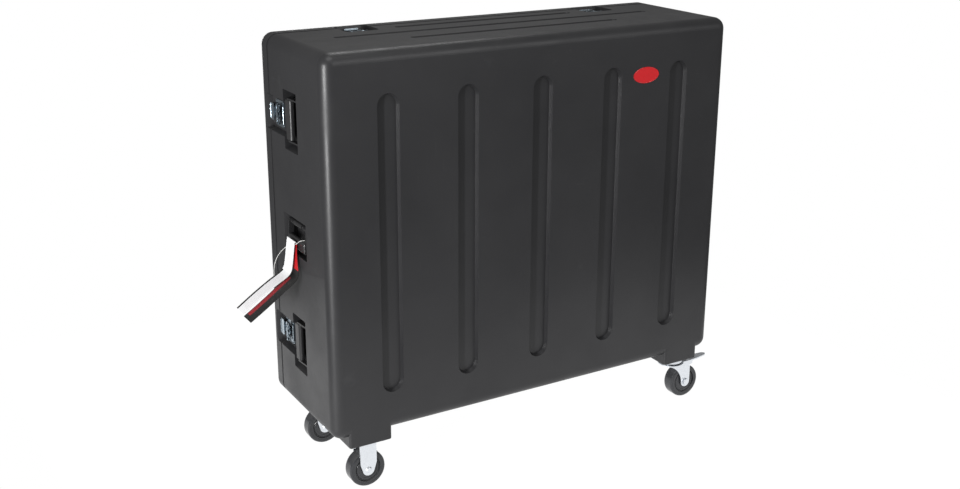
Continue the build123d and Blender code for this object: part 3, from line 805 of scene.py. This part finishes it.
WING_W = 0.0153
WING_HALF_T = 0.0076
WING_HALF_W = 0.0080
WING_SQUARENESS = 0.55
WING_HEIGHT = 0.0089
WING_EDGE_R = 0.0009
WING_STEPS = 32
WIRE_SIDES = 8
SCREW_HEIGHT = 0.0105
SCREW_STEPS = 24
SCREW_HEAD = ((0.0042, 0.0), (0.0042, 0.0006), (0.0036, 0.0011), (0.0016, 0.0012), (0.0012, 0.0004))
PLATE_TOP = 0.0014
PLATE_RIVET_T = (-0.0175, 0.0205)
PLATE_RIVET_W = 0.0265
KEEPER_RIVET_T = 0.0462
KEEPER_RIVET_W = 0.0115


def wing_loop(side):
    """The rolled edge of one looped wing, as a closed line in the latch's frame."""
    line = []
    for s in range(WING_STEPS):
        a = 2 * math.pi * s / WING_STEPS
        t = WING_HALF_T * math.copysign(abs(math.cos(a)) ** WING_SQUARENESS, math.cos(a))
        w = WING_HALF_W * math.copysign(abs(math.sin(a)) ** WING_SQUARENESS, math.sin(a))
        line.append(Vector((t, side * WING_W + w, DISH_FLOOR + WING_HEIGHT)))
    return line


def latch_details():
    for name, place in latch_places().items():
        height = DISH_FLOOR + PLATE_TOP
        spots = [(t, w * PLATE_RIVET_W) for t in PLATE_RIVET_T for w in (-1, 1)]
        rivets(f"latch_rivets_{name}", place, spots, height, "base", ZINC)
        spots = [(KEEPER_RIVET_T, w * KEEPER_RIVET_W) for w in (-1, 1)]
        rivets(f"keeper_rivets_{name}", place, spots, height, "lid", ZINC)
        shape = bmesh.new()
        for side in (-1, 1):
            tube(shape, [place @ spot for spot in wing_loop(side)], WING_EDGE_R, WIRE_SIDES, True)
        screw_place = place @ Matrix.Translation((0, 0, DISH_FLOOR + SCREW_HEIGHT))
        turn_profile(shape, SCREW_HEAD, screw_place, SCREW_STEPS)
        piece(f"wing_rolled_edges_{name}", shape, ZINC, f"wing_{name}")


SPRING_TURNS = 9
STEPS_A_TURN = 14
SPRING_R = 0.0043
SPRING_WIRE_R = 0.0008
SPRING_WIRE_SIDES = 6
SPRING_ENDS = (0.0225, 0.0465)
BAR_T = -0.026
BAR_N = -0.012
BAR_HEAD_W = 0.0531
BAR_HEAD_STEPS = 20
BAR_HEAD = ((0.0046, 0.0), (0.0044, 0.0007), (0.003, 0.0012), (0.0004, 0.0014))
POCKET_PLATE_TOP = 0.0019
POCKET_RIVET_T = (-0.010, 0.029)
POCKET_RIVET_W = 0.044


def spring_coil(place, start, end):
    """A coil round the handle's bar between two places along it."""
    line = []
    count = SPRING_TURNS * STEPS_A_TURN
    for s in range(count + 1):
        share = s / count
        a = 2 * math.pi * SPRING_TURNS * share
        t = BAR_T + SPRING_R * math.cos(a)
        n = BAR_N + SPRING_R * math.sin(a)
        line.append(place @ Vector((t, start + (end - start) * share, n)))
    return line


def handle_details():
    for name, place in handle_places().items():
        height = POCKET_FLOOR + POCKET_PLATE_TOP
        spots = [(t, w * POCKET_RIVET_W) for t in POCKET_RIVET_T for w in (-1, 1)]
        rivets(f"handle_rivets_{name}", place, spots, height, "base", BLACK_STEEL)
        shape = bmesh.new()
        for side in (-1, 1):
            start, end = (side * w for w in SPRING_ENDS)
            tube(shape, spring_coil(place, start, end), SPRING_WIRE_R, SPRING_WIRE_SIDES)
        for side in (-1, 1):
            head = place @ Matrix.Translation((BAR_T, side * BAR_HEAD_W, BAR_N))
            head = head @ Matrix.Rotation(-side * math.pi / 2, 4, "X")
            turn_profile(shape, BAR_HEAD, head, BAR_HEAD_STEPS)
        piece(f"handle_springs_{name}", shape, BLACK_STEEL, "base")


CASTER_X = 0.460
CASTER_YS = {"front": -0.142, "rear": 0.108}
TRAIL = 0.038
WHEEL_R = 0.045
RING_W = 0.0137
RING_STEPS = 48
WHEEL_RINGS = (
    ((0.0262, 0.0), (0.0262, 0.0009), (0.0246, 0.0013), (0.0232, 0.0009), (0.0232, 0.0)),
    ((0.0392, 0.0022), (0.0392, 0.0027), (0.0380, 0.0029), (0.0368, 0.0027), (0.0368, 0.0022)),
)


def wheel_details():
    """Moulding rings on both faces of the wheels."""
    for row, y in CASTER_YS.items():
        for side, x in (("left", -CASTER_X), ("right", CASTER_X + TRAIL)):
            shape = bmesh.new()
            for face in (-1, 1):
                turn = Matrix.Rotation(-face * math.pi / 2, 4, "X")
                base = Matrix.Translation(at(x, y, WHEEL_R)) @ turn
                ring = base @ Matrix.Translation((0, 0, RING_W))
                for profile in WHEEL_RINGS:
                    spin_band(shape, profile, ring, RING_STEPS)
            piece(f"wheel_rings_{row}_{side}", shape, TYRE, f"wheel_{row}_{side}")


BADGE_X = 0.300
BADGE_Z = 0.917
BADGE_HALF_X = 0.0378
BADGE_HALF_Z = 0.0188
BADGE_RIM_Y = FRONT_Y + 0.0008
BADGE_RIM_R = 0.0007
BADGE_RIM_STEPS = 64


def badge_rim():
    """Thin raised rim round the red plate."""
    line = []
    for s in range(BADGE_RIM_STEPS):
        a = 2 * math.pi * s / BADGE_RIM_STEPS
        x = BADGE_X + BADGE_HALF_X * math.cos(a)
        line.append(at(x, BADGE_RIM_Y, BADGE_Z + BADGE_HALF_Z * math.sin(a)))
    shape = bmesh.new()
    tube(shape, line, BADGE_RIM_R, WIRE_SIDES, True)
    piece("badge_rim", shape, BADGE, "base")


# Studio
FLOOR_GLOW_SHARE = 0.93
FLOOR_GLOW = 1.06
FLOOR_REACH = 1.1
FLOOR_PAINT = (0.8, 0.8, 0.8, 1)
SKY_LIGHT = 0.5
SKY_IN_GLOSS = 0.2


def stage():
    """White floor and sky. In reflections the floor stays white, but the sky is dim."""
    material = bpy.data.materials.new("white studio floor")
    material.use_nodes = True
    net = Net(material.node_tree)
    material.node_tree.nodes.clear()
    rays = net.add("ShaderNodeLightPath")
    seen = net.maths("MAXIMUM", rays.outputs["Is Camera Ray"], rays.outputs["Is Glossy Ray"])
    seen = net.maths("MAXIMUM", seen, rays.outputs["Is Transmission Ray"])
    glow = net.add("ShaderNodeEmission")
    glow.inputs["Strength"].default_value = FLOOR_GLOW
    matt = net.add("ShaderNodeBsdfDiffuse")
    matt.inputs["Color"].default_value = FLOOR_PAINT
    blend = net.add("ShaderNodeMixShader")
    net.join(net.maths("MULTIPLY", seen, FLOOR_GLOW_SHARE), blend.inputs[0])
    net.join(matt.outputs[0], blend.inputs[1])
    net.join(glow.outputs[0], blend.inputs[2])
    net.join(blend.outputs[0], net.add("ShaderNodeOutputMaterial").inputs[0])
    shape = bmesh.new()
    bmesh.ops.create_grid(shape, x_segments=2, y_segments=2, size=FLOOR_REACH)
    mesh = bpy.data.meshes.new("studio_floor")
    shape.to_mesh(mesh)
    mesh.materials.append(material)
    link(bpy.data.objects.new("studio_floor", mesh))

    world = bpy.data.worlds.new("white studio")
    bpy.context.scene.world = world
    world.use_nodes = True
    net = Net(world.node_tree)
    world.node_tree.nodes.clear()
    rays = net.add("ShaderNodeLightPath")
    seen = net.maths("MAXIMUM", rays.outputs["Is Camera Ray"], rays.outputs["Is Transmission Ray"])
    level = net.ramp(rays.outputs["Is Glossy Ray"], 0.0, 1.0, SKY_LIGHT, SKY_IN_GLOSS)
    sky = net.add("ShaderNodeBackground")
    sky.inputs["Color"].default_value = (1, 1, 1, 1)
    net.join(net.maths("MAXIMUM", seen, level), sky.inputs["Strength"])
    net.join(sky.outputs[0], net.add("ShaderNodeOutputWorld").inputs[0])


# Each lamp's name, place, aim, size and power in watts
LAMPS = (
    ("left_strip", (-3.3, -1.6, 0.62), (-0.54, -0.16, 0.7), (0.25, 1.2), 130),
    ("front_softbox", (1.6, -3.6, 2.2), (0, 0, 0.6), (2.0, 1.6), 30),
    ("overhead_softbox", (-0.6, -1.2, 3.4), (0, 0, 0.9), (1.6, 1.2), 22),
    ("back_softbox", (0.8, 1.6, 3.6), (0, 0, 0.6), (1.2, 1.2), 20),
    ("rear_fill", (0.4, 3.4, 0.7), (0, 0, 0.6), (1.6, 0.6), 32),
)


def lamps():
    for name, place, aim, size, watts in LAMPS:
        data = bpy.data.lights.new(name, "AREA")
        data.shape = "RECTANGLE"
        data.size, data.size_y = size
        data.energy = watts
        light = link(bpy.data.objects.new(name, data))
        direction = Vector(aim) - Vector(place)
        turn = direction.to_track_quat("-Z", "Y").to_matrix().to_4x4()
        light.matrix_world = Matrix.Translation(place) @ turn


bpy.context.scene.view_settings.view_transform = "Standard"
camera()
cord_and_tag()
dress_nodes()
latch_details()
handle_details()
wheel_details()
badge_rim()
stage()
lamps()
